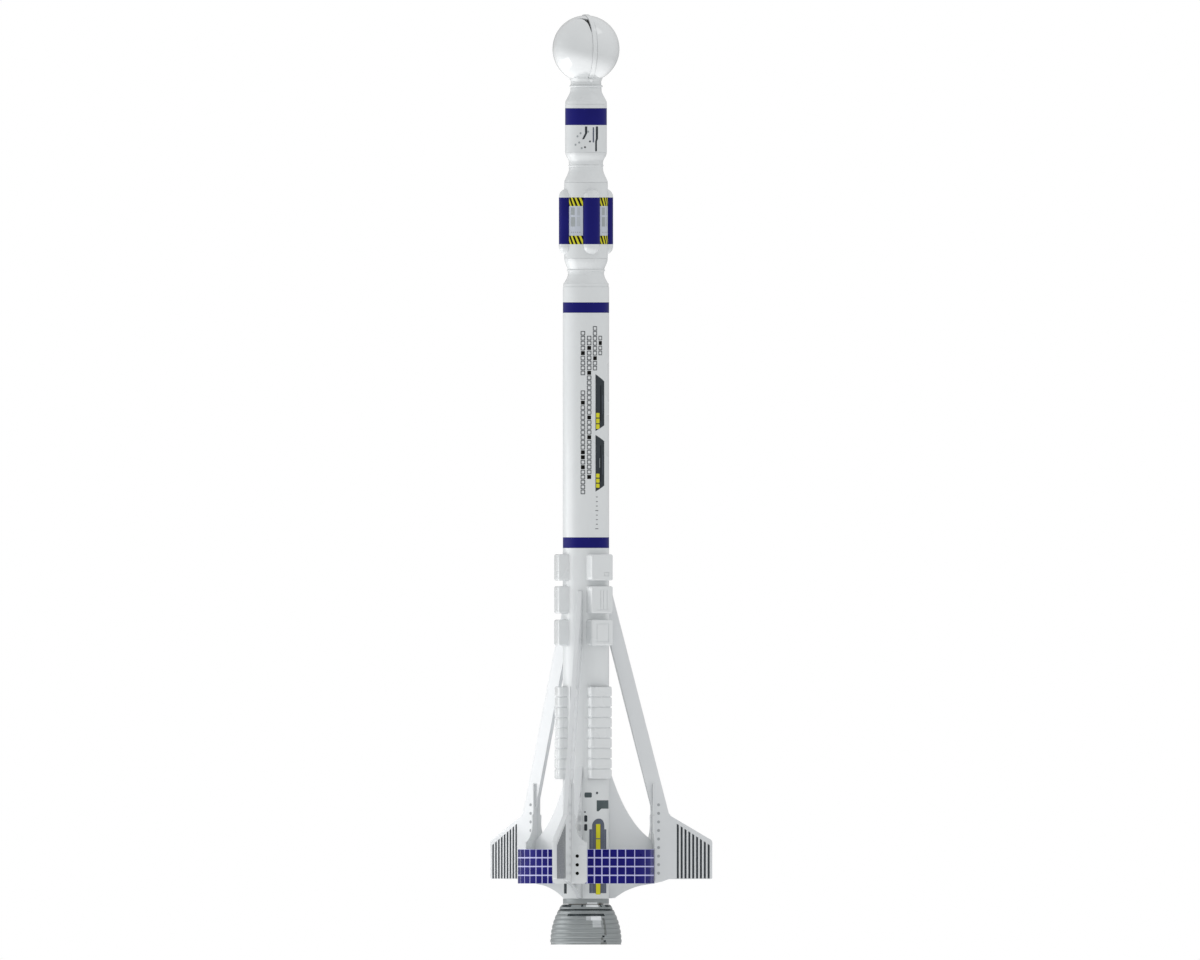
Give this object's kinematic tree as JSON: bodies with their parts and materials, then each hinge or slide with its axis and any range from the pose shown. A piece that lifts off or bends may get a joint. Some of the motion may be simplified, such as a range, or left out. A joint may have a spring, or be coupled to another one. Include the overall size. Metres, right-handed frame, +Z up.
{
  "type": "model rocket",
  "caption": "Slim hobby rocket with a sphere-tipped nose section, strut fins, a ring of curved solar panels between them and a flared ribbed nozzle; nose section and motor slide out.",
  "frame": {"origin": "on the long axis, in the plane of the nozzle's rim, which the rocket stands on", "axes": "+Z up along the long axis towards the nose sphere; +X along fin 1, with the other fins at 120 and 240 degrees about +Z"},
  "size_m": [0.1448, 0.1664, 0.677],
  "materials": {
    "white_paint": "gloss white paint over paper tube and balsa",
    "white_plastic": "gloss white moulded plastic",
    "solar_blue": "gloss dark blue cells with pale lavender grid lines",
    "silver": "bright silver plating on ribbed plastic",
    "kraft_paper": "bare spiral-wound brown paper",
    "card": "plain grey card",
    "powder": "pressed dark propellant",
    "clay": "pressed dry clay",
    "parachute_sheet": "thin folded orange sheet"
  },
  "bodies": {
    "airframe": {"main_tube": "white_paint", "block_1_a": "white_plastic", "block_1_b": "white_plastic", "block_1_c": "white_plastic", "ribbed_housing_1": "white_plastic", "block_2_a": "white_plastic", "block_2_b": "white_plastic", "block_2_c": "white_plastic", "ribbed_housing_2": "white_plastic", "block_3_a": "white_plastic", "block_3_b": "white_plastic", "block_3_c": "white_plastic", "ribbed_housing_3": "white_plastic", "fin_1_root_panel": "white_paint", "fin_1_strut": "white_paint", "fin_1_wing": "white_paint", "fin_1_gusset_left": "white_plastic", "fin_1_gusset_right": "white_plastic", "solar_panel_1": "solar_blue", "fin_2_root_panel": "white_paint", "fin_2_strut": "white_paint", "fin_2_wing": "white_paint", "fin_2_gusset_left": "white_plastic", "fin_2_gusset_right": "white_plastic", "solar_panel_2": "solar_blue", "fin_3_root_panel": "white_paint", "fin_3_strut": "white_paint", "fin_3_wing": "white_paint", "fin_3_gusset_left": "white_plastic", "fin_3_gusset_right": "white_plastic", "solar_panel_3": "solar_blue", "nozzle_collar": "silver", "nozzle_bell": "silver", "motor_tube": "kraft_paper", "rear_centring_ring": "card", "front_centring_ring": "card", "thrust_ring": "card", "recovery_wadding": "card", "parachute": "parachute_sheet", "launch_lug_lower": "white_paint", "launch_lug_upper": "white_paint", "lug_standoff_lower": "white_paint", "lug_standoff_upper": "white_paint"},
    "nose_section": {"nose_sphere_right": "white_plastic", "nose_sphere_left": "white_plastic", "nose_seam_band": "white_plastic", "nose_neck": "white_plastic", "upper_transition": "white_plastic", "lower_transition": "white_plastic", "nose_eyelet": "white_plastic", "upper_tube": "white_paint", "middle_tube": "white_paint", "nose_weight": "card", "pod_1": "white_plastic", "pod_2": "white_plastic", "pod_3": "white_plastic", "pod_4": "white_plastic"},
    "motor": {"motor_casing": "kraft_paper", "motor_nozzle": "clay", "motor_grain": "powder"}
  },
  "joints": [
    {"name": "nose_slide", "type": "slide", "parent": "airframe", "child": "nose_section", "axis": [0, 0, 1], "range_m": [0, 0.045]},
    {"name": "motor_slide", "type": "slide", "parent": "airframe", "child": "motor", "axis": [0, 0, -1], "range_m": [0, 0.08]}
  ]
}
